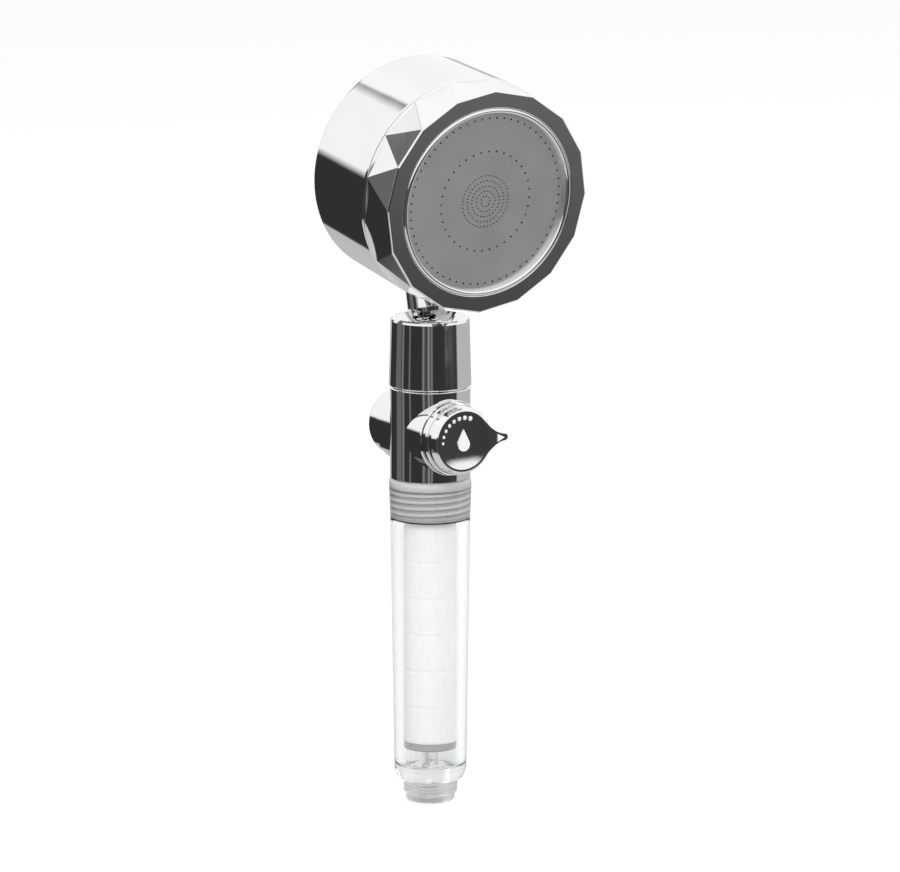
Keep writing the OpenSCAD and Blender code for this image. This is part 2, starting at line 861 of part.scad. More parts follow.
module water_chamber() {
    back = chamber_floor_z + chamber_floor;
    color("dimgray")
        in_head() difference() {
            bar(water_r, back, water_front_z);
            bar(water_bore_r, back - over, water_front_z - 1.6);
            // Outlets to the three spray zones
            for (p = [[0, 8], [120, 20], [240, 30]])
                rotate([0, 0, p[0]]) translate([p[1], 0, -8]) cylinder(r = 2.4, h = 5);
            ring(water_bore_r + 0.5, water_bore_r + 1.3, water_front_z - 0.6, 0);
        }
}

module chamber_oring() {
    color("black") in_head() oring(water_bore_r + 0.9, 0.38, water_front_z - 0.2);
}

module zone_plate() {
    color("dimgray")
        in_head() difference() {
            union() {
                bar(bezel_bore_r - 0.05, seam_gap, seam_gap + 1.6);
                for (r = zone_walls_r)
                    ring(r, r + zone_wall, seam_gap + 1.6, plate_z - 0.8);
                ring(38, bezel_bore_r - 0.05, seam_gap, 6);
            }
            for (p = [[0, 8], [120, 20], [240, 30]])
                rotate([0, 0, p[0]]) translate([p[1], 0, -over]) cylinder(r = 3, h = 5);
        }
}

module plate_gasket() {
    color("black") in_head()
        for (r = zone_walls_r)
            ring(r, r + zone_wall, plate_z - 0.8, plate_z);
}

module bead_ring() {
    z = bezel_len - 0.45;
    color("white")
        in_head() {
            rotate_extrude() {
                translate([bead_r, z]) circle(r = bead_wire_r, $fn = 48);
                translate([bead_r - bead_wire_r, plate_z + plate_thick])
                    square([2 * bead_wire_r, z - plate_z - plate_thick]);
            }
        }
}

module spray_plate() {
    rings = 5;
    // Ring k of the centre cluster has 9 k holes at k times the pitch
    color("lightslategray")
        in_head() translate([0, 0, plate_z]) linear_extrude(plate_thick)
            difference() {
                circle(d = plate_d);
                for (k = [1 : rings], i = [1 : 9 * k])
                    rotate(i * 40 / k) translate([k * mist_pitch, 0])
                        circle(d = mist_hole_d, $fn = 16);
                for (i = [1 : 36])
                    rotate(i * 10) translate([middle_ring_r, 0]) circle(d = jet_hole_d, $fn = 16);
                for (i = [1 : 63])
                    rotate(i * 360 / 63) translate([outer_ring_r, 0])
                        circle(d = jet_hole_d, $fn = 16);
            }
}

// ---------- Spray selector ----------

module mode_slider() {
    mark = 0.35;
    mark_step = 8;
    color("dimgray")
        in_head() {
            difference() {
                intersection() {
                    side_pill(selector_reach, selector_w, 36, selector_r + 2);
                    ring(ring_outer_r, selector_r, -20, -6);
                }
                // The bar is hollow underneath, apart from its middle
                for (a = [-9, 9])
                    rotate([0, 0, a]) translate([0, 0, -selector_back]) rotate([0, 90, 0])
                        bar(2, ring_outer_r - over, selector_r - 2);
            }
            // Plain marks for the three sprays: dot, ring and three dots
            rotate([0, 0, mark_step]) translate([0, 0, -selector_back]) rotate([0, 90, 0])
                bar(0.9, selector_r - 0.2, selector_r + mark);
            translate([0, 0, -selector_back]) rotate([0, 90, 0])
                ring(0.8, 1.4, selector_r - 0.2, selector_r + mark);
            for (i = [-1 : 1])
                rotate([0, 0, -mark_step + i * 1.9]) translate([0, 0, -selector_back])
                    rotate([0, 90, 0]) bar(0.55, selector_r - 0.2, selector_r + mark);
        }
}

module selector_ring() {
    color("dimgray")
        in_head() ring(ring_inner_r, ring_outer_r, ring_back, ring_front);
}

module diverter_disc() {
    color("whitesmoke")
        in_head() difference() {
            bar(ring_outer_r, ring_front, -0.2);
            bar(ring_outer_r - 2.2, -1.6, 0);
            for (p = [[0, 8], [120, 20], [240, 30]])
                rotate([0, 0, p[0]]) translate([p[1], 0, -5]) cylinder(r = 2.2, h = 6);
        }
}

// ---------- Assembly ----------

inlet_strainer();
handle_tube();
filter_foot();
filter_end_ring();
filter_cartridge();
filter_top_cap();
filter_oring();
thread_coupling();
coupling_oring();
valve_body();
valve_sleeve();
plunger_guide();
guide_oring();
button_spring();
collar();
lower_ball_seat();
ball_seal();
flow_knob();
flow_spool();
spool_orings();
spool_clip();
stop_button();
stop_plunger();
plunger_oring();
upper_ball_seat();
ball();
neck_stem();
neck_oring();
rear_housing();
faceted_bezel();
rear_rim();
rear_window();
window_gasket();
turbine_chamber();
fan_axle();
water_chamber();
chamber_oring();
zone_plate();
plate_gasket();
bead_ring();
spray_plate();
fan_blades();
fan_hub_cap();
fan_bush();
mode_slider();
selector_ring();
diverter_disc();
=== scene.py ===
import json
import math

import bpy
from mathutils import Matrix, Vector


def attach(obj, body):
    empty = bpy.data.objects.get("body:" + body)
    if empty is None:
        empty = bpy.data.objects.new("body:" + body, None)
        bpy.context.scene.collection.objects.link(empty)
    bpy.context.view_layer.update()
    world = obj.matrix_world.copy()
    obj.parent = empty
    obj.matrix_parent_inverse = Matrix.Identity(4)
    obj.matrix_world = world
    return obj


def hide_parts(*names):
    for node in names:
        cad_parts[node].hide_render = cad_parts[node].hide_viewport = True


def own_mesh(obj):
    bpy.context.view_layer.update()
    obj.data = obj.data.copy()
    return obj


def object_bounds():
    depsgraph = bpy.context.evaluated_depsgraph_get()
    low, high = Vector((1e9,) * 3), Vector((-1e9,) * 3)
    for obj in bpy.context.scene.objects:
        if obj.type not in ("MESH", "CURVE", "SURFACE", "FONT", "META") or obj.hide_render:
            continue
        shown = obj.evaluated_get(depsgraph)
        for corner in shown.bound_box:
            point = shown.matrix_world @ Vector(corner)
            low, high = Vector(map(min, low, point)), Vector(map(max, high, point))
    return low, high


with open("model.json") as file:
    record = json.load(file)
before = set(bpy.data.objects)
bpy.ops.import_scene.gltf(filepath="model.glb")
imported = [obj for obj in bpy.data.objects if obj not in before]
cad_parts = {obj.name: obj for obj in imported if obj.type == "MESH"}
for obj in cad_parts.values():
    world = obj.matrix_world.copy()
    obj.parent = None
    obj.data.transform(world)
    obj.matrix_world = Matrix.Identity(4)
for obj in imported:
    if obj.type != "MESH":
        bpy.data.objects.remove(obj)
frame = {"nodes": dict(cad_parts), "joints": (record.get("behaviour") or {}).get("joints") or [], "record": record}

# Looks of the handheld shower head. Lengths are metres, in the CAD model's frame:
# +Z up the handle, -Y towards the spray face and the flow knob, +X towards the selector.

CAD_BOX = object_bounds()
NODES = frame["nodes"]
JOINTS = {joint["name"]: joint for joint in frame["joints"]}
MM = 0.001
TURN = 2 * math.pi
STEPS = 192  # faces round a turned piece
# The screw coupling's radii, its thread's pitch and the height of its plain band
COUPLING = {
    "root": 13.25 * MM, "crest": 14.25 * MM, "pitch": 2.5 * MM,
    "band_r": 14.88 * MM, "band": 3.2 * MM,
}


# ---------- Frames and measures ----------


def joint_frame(name):
    """A joint's own frame: +Z along its axis, zero at its anchor, +X across."""
    joint = JOINTS[name]
    z = Vector(joint["axis"]).normalized()
    x = Vector((0, 0, 1)).cross(z).normalized()
    placed = Matrix((x, z.cross(x), z)).transposed().to_4x4()
    placed.translation = Vector(joint["pos_m"])
    return placed


UPRIGHT = Matrix.Identity(4)
HEAD = joint_frame("fan_spin")  # +Z is the spray direction, zero at the seam
CROSS = joint_frame("knob_turn")  # +Z runs from the stop button to the knob


def extent(node, place=UPRIGHT):
    """A node's lowest and highest z and its largest radius in a local frame."""
    to_local = place.inverted() @ NODES[node].matrix_world
    points = [to_local @ v.co for v in NODES[node].data.vertices]
    heights = [p.z for p in points]
    return min(heights), max(heights), max(math.hypot(p.x, p.y) for p in points)


# ---------- Node helpers for materials ----------


class Shader:
    """A material with one Principled shader and short ways to add nodes to it."""

    def __init__(self, name, colour, metallic=0.0, roughness=0.5, ior=1.5):
        self.material = bpy.data.materials.new(name)
        self.material.use_nodes = True
        self.tree = self.material.node_tree
        self.bsdf = self.tree.nodes["Principled BSDF"]
        self.bsdf.inputs["Base Color"].default_value = (*colour, 1)
        self.bsdf.inputs["Metallic"].default_value = metallic
        self.bsdf.inputs["Roughness"].default_value = roughness
        self.bsdf.inputs["IOR"].default_value = ior
        self.place = self.add("ShaderNodeTexCoord").outputs["Object"]

    def add(self, kind, **values):
        node = self.tree.nodes.new(kind)
        for key, value in values.items():
            setattr(node, key, value)
        return node

    def link(self, source, target):
        self.tree.links.new(source, target)

    def noise(self, scale, detail=3, stretch=(1, 1, 1), place=None):
        """Noise with features of about 1 / scale metres, drawn out along stretch."""
        mapping = self.add("ShaderNodeMapping")
        mapping.inputs["Scale"].default_value = [scale / s for s in stretch]
        self.link(place or self.place, mapping.inputs["Vector"])
        noise = self.add("ShaderNodeTexNoise")
        noise.inputs["Scale"].default_value = 1
        noise.inputs["Detail"].default_value = detail
        self.link(mapping.outputs["Vector"], noise.inputs["Vector"])
        return noise.outputs["Fac"]

    def spread(self, value, low, high, start=0.3, end=0.7):
        """Maps a value from start..end to low..high."""
        node = self.add("ShaderNodeMapRange")
        limits = {"From Min": start, "From Max": end, "To Min": low, "To Max": high}
        for key, number in limits.items():
            node.inputs[key].default_value = number
        self.link(value, node.inputs["Value"])
        return node.outputs["Result"]

    def math(self, operation, a, b):
        node = self.add("ShaderNodeMath", operation=operation)
        for socket, value in zip(node.inputs, (a, b)):
            if isinstance(value, (int, float)):
                socket.default_value = value
            else:
                self.link(value, socket)
        return node.outputs[0]

    def mix(self, factor, first, second):
        """A colour between two colours or colour sockets."""
        node = self.add("ShaderNodeMix", data_type="RGBA")
        self.link(factor, node.inputs["Factor"])
        for socket, colour in ((node.inputs[6], first), (node.inputs[7], second)):
            if isinstance(colour, tuple):
                socket.default_value = (*colour, 1)
            else:
                self.link(colour, socket)
        return node.outputs[2]

    def colour(self, factor, first, second):
        self.link(self.mix(factor, first, second), self.bsdf.inputs["Base Color"])

    def rough(self, value):
        self.link(value, self.bsdf.inputs["Roughness"])

    def bump(self, *layers):
        """Bumps from (height, distance in metres) pairs, one on top of the other."""
        normal = None
        for height, distance in layers:
            node = self.add("ShaderNodeBump")
            node.inputs["Strength"].default_value = 1
            node.inputs["Distance"].default_value = distance
            self.link(height, node.inputs["Height"])
            if normal:
                self.link(normal, node.inputs["Normal"])
            normal = node.outputs["Normal"]
        self.link(normal, self.bsdf.inputs["Normal"])

    def along(self, place):
        """Distance along a local frame's Z axis."""
        axis = place.to_3x3().col[2]
        node = self.add("ShaderNodeVectorMath", operation="DOT_PRODUCT")
        node.inputs[1].default_value = axis
        self.link(self.place, node.inputs[0])
        return self.math("SUBTRACT", node.outputs["Value"], axis.dot(place.translation))

    def from_axis(self, place):
        """Distance from a local frame's Z axis."""
        offset = self.add("ShaderNodeVectorMath", operation="SUBTRACT")
        offset.inputs[1].default_value = place.translation
        self.link(self.place, offset.inputs[0])
        across = self.add("ShaderNodeVectorMath", operation="CROSS_PRODUCT")
        across.inputs[1].default_value = place.to_3x3().col[2]
        self.link(offset.outputs[0], across.inputs[0])
        length = self.add("ShaderNodeVectorMath", operation="LENGTH")
        self.link(across.outputs[0], length.inputs[0])
        return length.outputs["Value"]

    def see_through(self):
        """Lets lamps shine through a clear piece onto what is inside it."""
        output = self.tree.nodes["Material Output"]
        mix = self.add("ShaderNodeMixShader")
        open_side = self.add("ShaderNodeBsdfTransparent")
        path = self.add("ShaderNodeLightPath")
        self.link(path.outputs["Is Shadow Ray"], mix.inputs[0])
        self.link(self.bsdf.outputs[0], mix.inputs[1])
        self.link(open_side.outputs[0], mix.inputs[2])
        self.link(mix.outputs[0], output.inputs["Surface"])


# ---------- Materials ----------


def chrome():
    """Bright plating on moulded plastic, with a slow ripple and faint wipe marks."""
    chamber_r, knob_top_z, mark_height = 37 * MM, 170 * MM, 0.26 * MM
    s = Shader("chrome", (0.84, 0.845, 0.855), metallic=1)
    tone = s.mix(s.noise(35), (0.82, 0.825, 0.835), (0.90, 0.905, 0.91))
    wipes = s.noise(700, 5, (1, 1, 9))
    polish = s.math("ADD", s.spread(s.noise(60, 5), 0.02, 0.05), s.spread(wipes, 0, 0.02))
    # The turbine's blades are a little duller
    in_chamber = s.math("LESS_THAN", s.from_axis(HEAD), chamber_r)
    behind = s.math("LESS_THAN", s.along(HEAD), extent("fan_blades", HEAD)[1])
    dull = s.math("MULTIPLY", s.math("MULTIPLY", in_chamber, behind), 0.2)
    s.rough(s.math("ADD", polish, dull))
    s.bump((s.noise(55, 1), 2e-5))
    # Painted highlight: the tops of the knob's raised marks are painted white, standing in for their bright
    # reflection
    marks_z = extent("flow_knob", CROSS)[1] - mark_height
    below_head = s.math("LESS_THAN", s.along(UPRIGHT), knob_top_z)
    white_marks = s.math("MULTIPLY", s.math("GREATER_THAN", s.along(CROSS), marks_z), below_head)
    s.colour(white_marks, tone, (0.72, 0.72, 0.72))
    s.link(s.math("SUBTRACT", 1, white_marks), s.bsdf.inputs["Metallic"])
    return s.material


def dark_chrome():
    """Near-black bright plating on the selector bar, with white paint on its marks."""
    s = Shader("dark_chrome", (0.06, 0.062, 0.066), metallic=1)
    tone = s.mix(s.noise(90), (0.05, 0.052, 0.056), (0.09, 0.092, 0.097))
    marks_r = extent("mode_slider", HEAD)[2] - 0.3 * MM
    white_marks = s.math("GREATER_THAN", s.from_axis(HEAD), marks_r)
    s.colour(white_marks, tone, (0.72, 0.72, 0.72))
    s.link(s.math("SUBTRACT", 1, white_marks), s.bsdf.inputs["Metallic"])
    s.rough(s.spread(s.noise(400, 5), 0.06, 0.13))
    s.bump((s.noise(180, 2), 6e-6))
    return s.material


def clear_plastic():
    """Clear moulded polycarbonate, frosted where the hose thread is moulded."""
    s = Shader("clear_plastic", (0.91, 0.92, 0.92), ior=1.56)
    s.bsdf.inputs["Transmission Weight"].default_value = 1
    thread_top = 9 * MM
    frost = s.spread(s.along(UPRIGHT), 1, 0, thread_top - MM, thread_top + 2 * MM)
    s.colour(frost, (0.91, 0.92, 0.92), (0.84, 0.85, 0.85))
    haze = s.spread(s.noise(120, 4), 0.01, 0.035)
    s.rough(s.math("ADD", haze, s.math("MULTIPLY", frost, 0.34)))
    s.bump((s.noise(90, 1, (1, 1, 4)), 1.2e-5))
    s.see_through()
    return s.material


def frosted_plastic():
    """Translucent moulded plastic with a fine frost."""
    s = Shader("frosted_plastic", (0.90, 0.91, 0.92), ior=1.5)
    s.bsdf.inputs["Transmission Weight"].default_value = 0.94
    s.colour(s.noise(160), (0.88, 0.90, 0.91), (0.95, 0.96, 0.96))
    s.rough(s.spread(s.noise(900, 4), 0.05, 0.12))
    s.bump((s.noise(260, 3), 2e-5))
    s.see_through()
    return s.material


def filter_fibre():
    """Melt-blown fibre: matt white, laid on in slanting threads."""
    s = Shader("filter_fibre", (0.93, 0.93, 0.92), roughness=0.85)
    threads = s.noise(1400, 4, (5, 5, 1))
    strands = s.noise(800, 5, (1, 1, 4))
    s.colour(s.spread(strands, 0, 1, 0.35, 0.65), (0.90, 0.90, 0.895), (0.95, 0.95, 0.945))
    s.rough(s.spread(threads, 0.75, 0.95))
    s.bump((threads, 2e-5), (strands, 2e-5), (s.noise(140, 2), 4e-5))
    return s.material


def moulded(name, dark, light, roughness, grain=4e-6, flow=1.5e-5):
    """Moulded plastic between two tones, with a fine grain and flow marks."""
    s = Shader(name, dark)
    s.colour(s.noise(110, 4), dark, light)
    s.rough(s.spread(s.noise(500, 4), roughness - 0.06, roughness + 0.08))
    s.bump((s.noise(2200, 3), grain), (s.noise(120, 2), flow))
    return s


def grey_plastic():
    """Grey moulding: the dark end ring, and the pale coupling with a painted highlight on its thread's crests and
    painted shade in its roots.
    """
    root, crest, mid_tube_z = COUPLING["root"] + 0.2 * MM, COUPLING["crest"], 100 * MM
    s = moulded("grey_plastic", (0.35, 0.355, 0.36), (0.38, 0.385, 0.39), 0.3, 2e-6, 3e-6)
    end_ring = s.bsdf.inputs["Base Color"].links[0].from_socket
    # Painted highlight and shade: the thread's crests are painted paler and its roots darker, standing in for the
    # lit ridges and their shaded grooves
    crest_highlight = s.spread(s.from_axis(UPRIGHT), 0, 1, root, crest)
    coupling_tone_and_crest_highlight = s.mix(crest_highlight, (0.46, 0.465, 0.47), (0.66, 0.665, 0.67))
    upper_half = s.math("GREATER_THAN", s.along(UPRIGHT), mid_tube_z)
    s.colour(upper_half, end_ring, coupling_tone_and_crest_highlight)
    return s.material


def dark_plastic():
    """Dark moulding, with the pale polished floor of the turbine chamber."""
    chamber_r = 39 * MM
    s = moulded("dark_plastic", (0.045, 0.047, 0.05), (0.055, 0.057, 0.06), 0.42, 1e-6, 2e-6)
    floor_z = extent("fan_blades", HEAD)[1] + 0.1 * MM
    wall = s.bsdf.inputs["Base Color"].links[0].from_socket
    in_chamber = s.math("LESS_THAN", s.from_axis(HEAD), chamber_r)
    below_fan = s.spread(s.along(HEAD), 0, 1, floor_z - 0.2 * MM, floor_z)
    pale = s.math("MULTIPLY", in_chamber, below_fan)
    s.colour(pale, wall, (0.58, 0.59, 0.60))
    return s.material


def white_plastic():
    return moulded("white_plastic", (0.78, 0.78, 0.76), (0.86, 0.86, 0.84), 0.4).material


def rubber():
    return moulded("rubber", (0.012, 0.012, 0.012), (0.025, 0.025, 0.026), 0.6, 2e-5).material


def spray_steel():
    """Satin steel plate, finely brushed."""
    s = Shader("spray_steel", (0.52, 0.53, 0.53), metallic=1)
    grain = s.noise(5200, 2, (6, 1, 1))
    s.colour(s.noise(45, 3), (0.74, 0.75, 0.75), (0.78, 0.79, 0.79))
    s.rough(s.math("ADD", s.spread(s.noise(90, 4), 0.40, 0.43), s.spread(grain, 0, 0.04)))
    s.bump((grain, 2e-6), (s.noise(60, 1), 3e-6))
    return s.material


def steel():
    s = Shader("steel", (0.62, 0.62, 0.61), metallic=1)
    s.colour(s.noise(300), (0.55, 0.55, 0.54), (0.68, 0.68, 0.67))
    s.rough(s.spread(s.noise(1500, 4, (1, 1, 8)), 0.16, 0.34))
    s.bump((s.noise(1800, 2, (6, 1, 1)), 3e-6))
    return s.material


def brass():
    s = Shader("brass", (0.75, 0.55, 0.25), metallic=1)
    s.colour(s.noise(350), (0.66, 0.47, 0.20), (0.80, 0.62, 0.30))
    s.rough(s.spread(s.noise(900, 4), 0.18, 0.34))
    s.bump((s.noise(1600, 2), 3e-6))
    return s.material


MAKERS = (
    chrome, dark_chrome, clear_plastic, frosted_plastic, filter_fibre, grey_plastic,
    dark_plastic, white_plastic, rubber, spray_steel, steel, brass,
)
MATERIALS = {make.__name__: make() for make in MAKERS}


def dress_nodes():
    """Gives each CAD node the finish of its material slot in the record."""
    for row in frame["record"]["subparts"]:
        for slot in NODES[row["node"]].material_slots:
            slot.material = MATERIALS[row["material_slot"]]


# ---------- Mesh helpers ----------


def soften(outline, radius, steps=4):
    """Rounds the corners of a closed outline of (radius, height) points."""
    points = [Vector(p) for p in outline]
    nearly_straight = math.radians(8)
    out = []
    for i, corner in enumerate(points):
        back, on = points[i - 1] - corner, points[(i + 1) % len(points)] - corner
        if math.pi - back.angle(on) < nearly_straight:
            out.append(corner)
            continue
        reach = min(radius, 0.45 * back.length, 0.45 * on.length)
        start, end = corner + back.normalized() * reach, corner + on.normalized() * reach
        for k in range(steps + 1):
            t = k / steps
            out.append(start * (1 - t) ** 2 + corner * 2 * t * (1 - t) + end * t * t)
    return [tuple(p) for p in out]


def turned(outline, place=UPRIGHT, radius_at=None):
    """Points and faces of a closed outline of (radius, height) turned about Z."""
    rows = len(outline)
    points, faces = [], []
    for i in range(STEPS):
        angle = TURN * i / STEPS
        for r, z in outline:
            if radius_at:
                r = radius_at(r, z, angle)
            points.append(place @ Vector((r * math.cos(angle), r * math.sin(angle), z)))
        a, b = i * rows, (i + 1) % STEPS * rows
        for k in range(rows):
            n = (k + 1) % rows
            faces.append((a + k, b + k, b + n, a + n))
    return points, faces


def make_piece(name, points, faces, node, sharp=35):
    """A new piece that stands for a CAD node, on its body and with its finish."""
    mesh = bpy.data.meshes.new(name)
    mesh.from_pydata(points, [], faces)
    mesh.polygons.foreach_set("use_smooth", [True] * len(faces))
    mesh.set_sharp_from_angle(angle=math.radians(sharp))
    mesh.update()
    obj = bpy.data.objects.new(name, mesh)
    bpy.context.scene.collection.objects.link(obj)
    row = next(r for r in frame["record"]["subparts"] if r["node"] == node)
    body = next(b for b, nodes in frame["record"]["behaviour"]["bodies"].items() if node in nodes)
    mesh.materials.append(MATERIALS[row["material_slot"]])
    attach(obj, body)
    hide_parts(node)
    return obj


def between(low, high, step):
    """Heights from low to high, about step apart."""
    count = max(1, round((high - low) / step))
    return [low + (high - low) * i / count for i in range(count + 1)]


def thread_radius(z, angle, first, last, pitch, root, crest):
    """Radius of a right-handed screw thread that fades in and out at its ends."""
    turns = (z - first) / pitch - angle / TURN
    wave = 0.5 - 0.5 * math.cos(TURN * turns)
    ridge = min(1, wave * 1.35) ** 1.2
    fade = min(1, max(0, (z - first) / (0.6 * pitch))) * min(1, max(0, (last - z) / (0.6 * pitch)))
    return root + (crest - root) * ridge * fade


def bevelled(obj, width, angle):
    """Narrow rounded edges that leave the flats flat."""
    bevel = obj.modifiers.new("edges", "BEVEL")
    bevel.width, bevel.segments, bevel.harden_normals = width, 3, True
    bevel.limit_method, bevel.angle_limit = "ANGLE", math.radians(angle)


# ---------- Handle ----------


def handle_tube():
    """Clear tapered tube with a helical hose thread on its nipple."""
    thread_r = frame["record"]["mounts"][0]["dims"]["r_mm"] * MM
    thread_depth = 1.162 * MM
    root_r, bore_r = thread_r - thread_depth, 6.2 * MM
    pitch, first, last = 1.814 * MM, 2.3 * MM, 7.9 * MM
    _, mouth_z, rim_r = extent("handle_tube")
    coupling_z, floor_z = extent("thread_coupling")[0], extent("filter_foot")[0]
    band_z, shoulder, seal = mouth_z - COUPLING["band"], 8.5 * MM, 1.7 * MM
    # The wall grips the coupling without a gap, so its thread is seen right across the tube
    band_r, root = COUPLING["band_r"] - 0.05 * MM, COUPLING["root"] - 0.05 * MM
    foot = [(bore_r, 0), (root_r - 0.5 * MM, 0), (root_r, 0.5 * MM)]
    nipple = [(root_r, z) for z in between(0.9 * MM, 8.1 * MM, 0.12 * MM)]
    outside = [
        (root_r, shoulder), (12 * MM, shoulder), (12.9 * MM, shoulder + MM),
        (13.95 * MM, shoulder + 4.2 * MM), (15.45 * MM, coupling_z),
        (rim_r, mouth_z - 3.5 * MM), (rim_r, mouth_z - 0.6 * MM), (rim_r - 0.5 * MM, mouth_z),
    ]
    inside = [
        (band_r, mouth_z), (band_r, band_z + 0.75 * MM), (root, band_z + 0.45 * MM),
        (root, coupling_z + 0.3 * MM), (11.9 * MM, coupling_z + 0.3 * MM),
        (11.6 * MM, coupling_z - seal),
        (11.2 * MM, floor_z + MM), (10.2 * MM, floor_z), (bore_r, floor_z),
    ]
    outline = foot + nipple + soften(outside + inside, 0.4 * MM)

    def radius_at(r, z, angle):
        if abs(r - root_r) > 1e-9 or not first <= z <= last:
            return r
        return thread_radius(z, angle, first, last, pitch, root_r, thread_r)

    make_piece("clear_handle_tube", *turned(outline, UPRIGHT, radius_at), "handle_tube")


def coupling():
    """Grey screw coupling in the tube's mouth, with a plain band above its thread."""
    low, high, _ = extent("thread_coupling")
    band_z, shank_z = extent("handle_tube")[1] - COUPLING["band"], extent("valve_body")[0]
    shank_r, bore_r, socket_r = 11.4 * MM, 8.4 * MM, 5.1 * MM
    root, band_r = COUPLING["root"], COUPLING["band_r"]
    first, last = low + 0.3 * MM, band_z + 0.4 * MM
    thread = [(root, z) for z in between(low, band_z, 0.1 * MM)]
    rest = [
        (band_r - 0.3 * MM, band_z + 0.15 * MM), (band_r, band_z + 0.5 * MM),
        (band_r, shank_z - 0.2 * MM), (band_r - 0.2 * MM, shank_z), (shank_r, shank_z),
        (shank_r, high), (bore_r, high), (bore_r, low + 6 * MM), (socket_r, low + 4 * MM),
        (socket_r, low),
    ]

    def radius_at(r, z, angle):
        if abs(r - root) > 1e-9 or not first <= z <= last:
            return r
        return thread_radius(z, angle, first, last, COUPLING["pitch"], root, COUPLING["crest"])

    make_piece("coupling_thread", *turned(thread + rest, UPRIGHT, radius_at), "thread_coupling", 50)


def coupling_seal():
    """Slim seal ring under the coupling."""
    ring_r, wire_r, sides = 12.3 * MM, 0.3 * MM, 20
    ring_z = extent("thread_coupling")[0] - wire_r - 0.1 * MM
    outline = []
    for k in range(sides):
        angle = TURN * k / sides
        outline.append((ring_r + wire_r * math.cos(angle), ring_z + wire_r * math.sin(angle)))
    make_piece("coupling_seal", *turned(outline), "coupling_oring")


def filter_cartridge():
    """Wound fibre cartridge of six short sections with soft shoulders."""
    low, high, r = extent("filter_cartridge")
    sections = 6
    length = (high - low) / sections
    bore_r, groove, seam, fine, weave = 4 * MM, 0.2 * MM, 0.45 * MM, 0.3 * MM, 0.05 * MM
    wall = []
    for z in between(low, high, 0.5 * MM):
        from_seam = abs((z - low + length / 2) % length - length / 2)
        wall.append((r - groove * math.exp(-((from_seam / seam) ** 2)), z))
    outline = [(bore_r, low)] + wall + [(bore_r, high)]

    def radius_at(radius, z, angle):
        if radius < r - fine - groove:
            return radius
        return radius + weave * math.sin(9 * angle + 900 * z) * math.sin(7 * angle - 1300 * z)

    make_piece("wound_filter", *turned(outline, UPRIGHT, radius_at), "filter_cartridge")


def button_spring():
    """Return spring with closed end turns."""
    low, high, outer_r = extent("button_spring", CROSS)
    wire_r, turns, steps, sides, closing = 0.55 * MM, 7, 32, 12, 0.8
    mean_r, rise = outer_r - wire_r, high - low - 2 * wire_r
    count = turns * steps + 1
    points = []
    for i in range(count):
        share, angle = i / (count - 1), TURN * i / steps
        # The pitch fades out towards both ends
        climb = share - closing * math.sin(TURN * share) / TURN
        for k in range(sides):
            b = TURN * k / sides
            r = mean_r + wire_r * math.cos(b)
            z = low + wire_r + rise * climb + wire_r * math.sin(b)
            points.append(CROSS @ Vector((r * math.cos(angle), r * math.sin(angle), z)))
    faces = [tuple(range(sides)), tuple((count - 1) * sides + k for k in reversed(range(sides)))]
    for i in range(count - 1):
        for k in range(sides):
            a, b, n = i * sides, (i + 1) * sides, (k + 1) % sides
            faces.append((a + k, b + k, b + n, a + n))
    spring = make_piece("return_spring", points, faces, "button_spring", 60)
    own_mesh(spring)


# ---------- Head ----------


def bezel():
    """Flat triangles between the front edge and a half-turned polygon in a round cuff."""
    low, high, seam_r = extent("faceted_bezel", HEAD)
    sides, round_points = 16, STEPS
    bore_r, bead_bore_r, shelf_z = 41.2 * MM, 36.58 * MM, 14.2 * MM
    foot_z, lip = low + 0.55 * MM, 0.5 * MM
    rows = [
        (sides, 0.5, 44.1 * MM, foot_z), (sides, 0, 43.5 * MM, high - lip),
        (sides, 0, 43.0 * MM, high), (round_points, 0, bead_bore_r + 0.25 * MM, high),
        (round_points, 0, bead_bore_r, high - 0.25 * MM), (round_points, 0, bead_bore_r, shelf_z),
        (round_points, 0, bore_r, shelf_z), (round_points, 0, bore_r, foot_z),
    ]
    points, starts = [], []
    for count, offset, r, z in rows:
        starts.append(len(points))
        for i in range(count):
            a = TURN * (i + offset) / count
            points.append(HEAD @ Vector((r * math.cos(a), r * math.sin(a), z)))

    def at(row, i):
        return starts[row] + i % rows[row][0]

    faces = []
    per_side = round_points // sides
    for k in range(sides):
        faces.append((at(0, k), at(1, k + 1), at(1, k)))
        faces.append((at(0, k), at(0, k + 1), at(1, k + 1)))
        faces.append((at(1, k), at(1, k + 1), at(2, k + 1), at(2, k)))
        front = [at(3, per_side * (k + 1) - i) for i in range(per_side + 1)]
        faces.append((at(2, k), at(2, k + 1), *front))
        half = per_side // 2
        back = [at(7, per_side * k + half + i) for i in range(per_side + 1)]
        faces.append((at(0, k + 1), at(0, k), *back))
    for row in range(3, 7):
        for i in range(round_points):
            faces.append((at(row, i), at(row, i + 1), at(row + 1, i + 1), at(row + 1, i)))
    shell = make_piece("bezel_shell", points, faces, "faceted_bezel", 180)
    bevelled(shell, 0.16 * MM, 5)

    outline = [
        (bore_r, low), (seam_r - 0.4 * MM, low), (seam_r, low + 0.4 * MM), (seam_r, 1.0 * MM),
        (seam_r - 1.3 * MM, 2.1 * MM), (bore_r, 2.1 * MM),
    ]
    make_piece("bezel_cuff", *turned(soften(outline, 0.2 * MM), HEAD), "faceted_bezel", 60)


